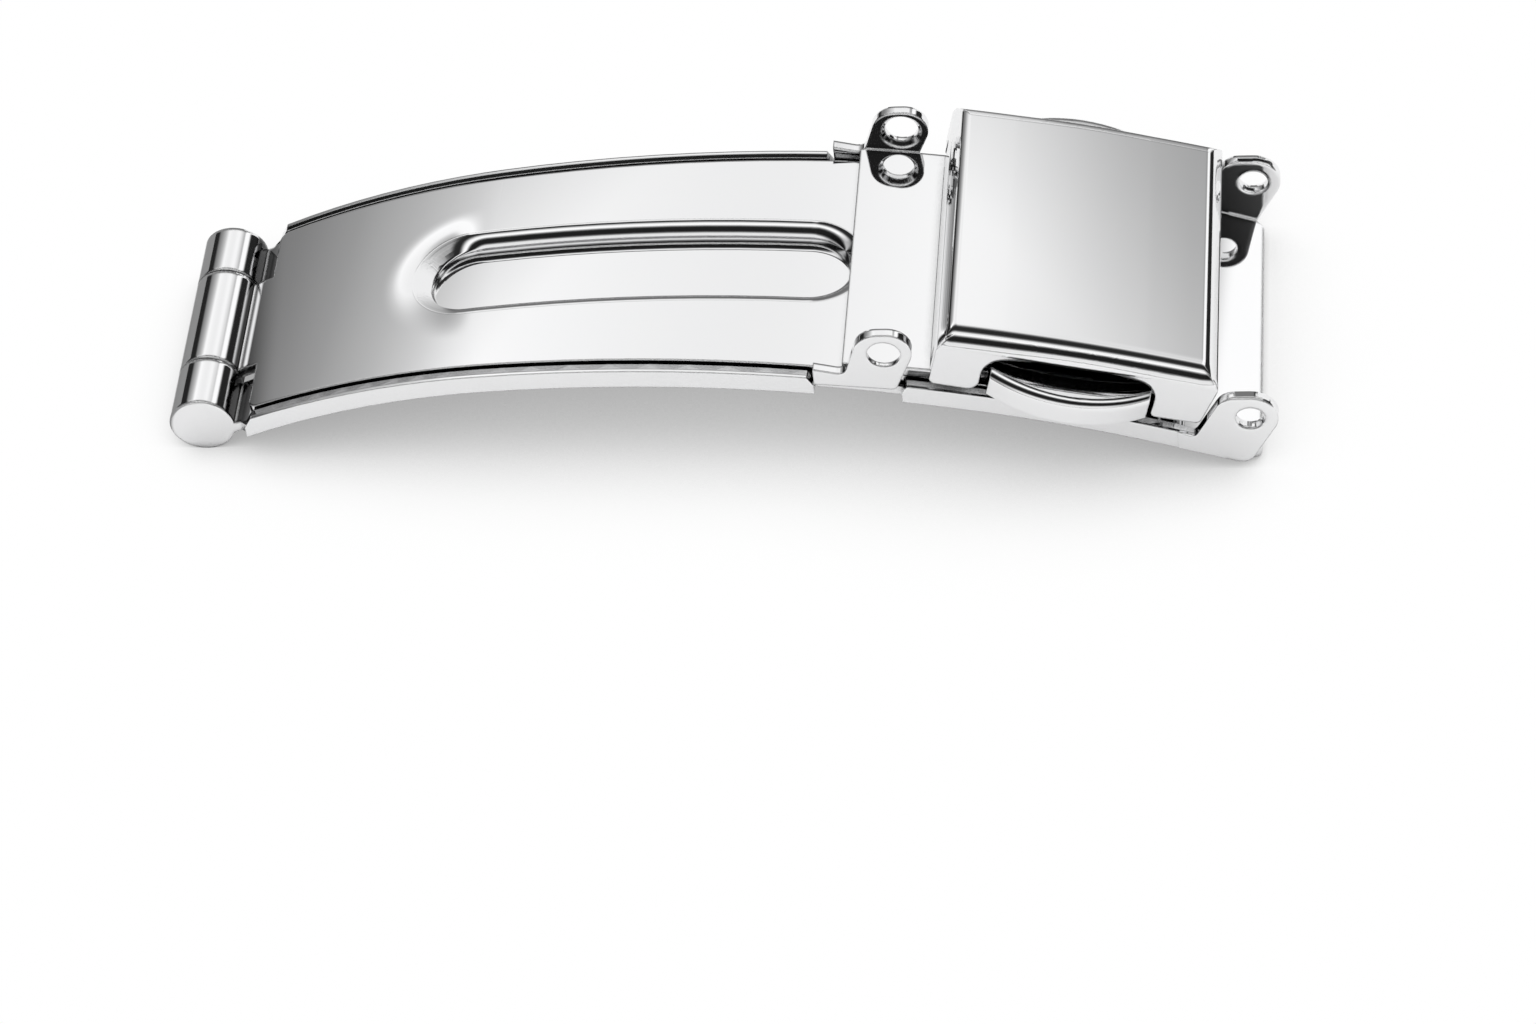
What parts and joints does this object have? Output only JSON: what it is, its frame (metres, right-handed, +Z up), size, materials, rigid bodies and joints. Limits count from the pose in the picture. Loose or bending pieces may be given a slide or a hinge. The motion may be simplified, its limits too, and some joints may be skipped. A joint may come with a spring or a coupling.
{
  "type": "deployant clasp",
  "caption": "Folding deployant clasp for a watch bracelet: curved leaves on a barrel hinge, a crowned cover with side push buttons, and pierced ears for the bracelet's spring bars.",
  "frame": {"origin": "under the middle of the folded clasp, on the plane that its barrel and its ears' end rest on", "axes": "+X along the clasp from the barrel hinge to the outer leaf's ears, +Y across it, +Z up from the wrist side to the cover"},
  "size_m": [0.0516, 0.0188, 0.0085],
  "materials": {
    "outer_leaf_steel": "mirror polished, side faces soft polished",
    "inner_leaf_steel": "mirror polished",
    "cover_steel": "mirror polished roof and rolled edge, satin side walls",
    "lug_frame_steel": "mirror polished strip, satin ear faces",
    "button_steel": "mirror polished",
    "post_steel": "mirror polished",
    "pin_steel": "polished, end ground flush",
    "latch_plate_steel": "plain rolled sheet, satin",
    "rivet_steel": "turned, satin",
    "spring_steel": "drawn wire, satin"
  },
  "bodies": {
    "outer_leaf": {"outer_leaf": "outer_leaf_steel", "latch_post": "post_steel", "leaf_hinge_pin": "pin_steel"},
    "inner_leaf": {"inner_leaf": "inner_leaf_steel"},
    "cover": {"cover_shell": "cover_steel", "lug_frame": "lug_frame_steel", "latch_base_plate": "latch_plate_steel", "latch_top_plate": "latch_plate_steel", "latch_rivet_back": "rivet_steel", "latch_rivet_front": "rivet_steel", "cover_hinge_pin": "pin_steel", "near_button_spring": "spring_steel", "far_button_spring": "spring_steel"},
    "near_button": {"near_button_cap": "button_steel", "near_latch_slider": "latch_plate_steel"},
    "far_button": {"far_button_cap": "button_steel", "far_latch_slider": "latch_plate_steel"}
  },
  "joints": [
    {"name": "leaf_fold", "type": "hinge", "parent": "outer_leaf", "child": "inner_leaf", "pos_m": [-0.02432, 0, 0.00153], "axis": [0, -1, 0], "range_deg": [0, 180]},
    {"name": "cover_fold", "type": "hinge", "parent": "inner_leaf", "child": "cover", "pos_m": [0.02115, 0, 0.00311], "axis": [0, 1, 0], "range_deg": [0, 180]},
    {"name": "near_button_press", "type": "slide", "parent": "cover", "child": "near_button", "axis": [0, 1, 0], "range_m": [0, 0.0009], "stiffness_N_per_m": 400, "springref_m": -0.0005, "deforming": ["near_button_spring"]},
    {"name": "far_button_press", "type": "slide", "parent": "cover", "child": "far_button", "axis": [0, -1, 0], "range_m": [0, 0.0009], "stiffness_N_per_m": 400, "springref_m": -0.0005, "deforming": ["far_button_spring"]}
  ],
  "couplings": [
    {"joint": "cover_fold", "follows": "leaf_fold", "ratio": 1}
  ]
}
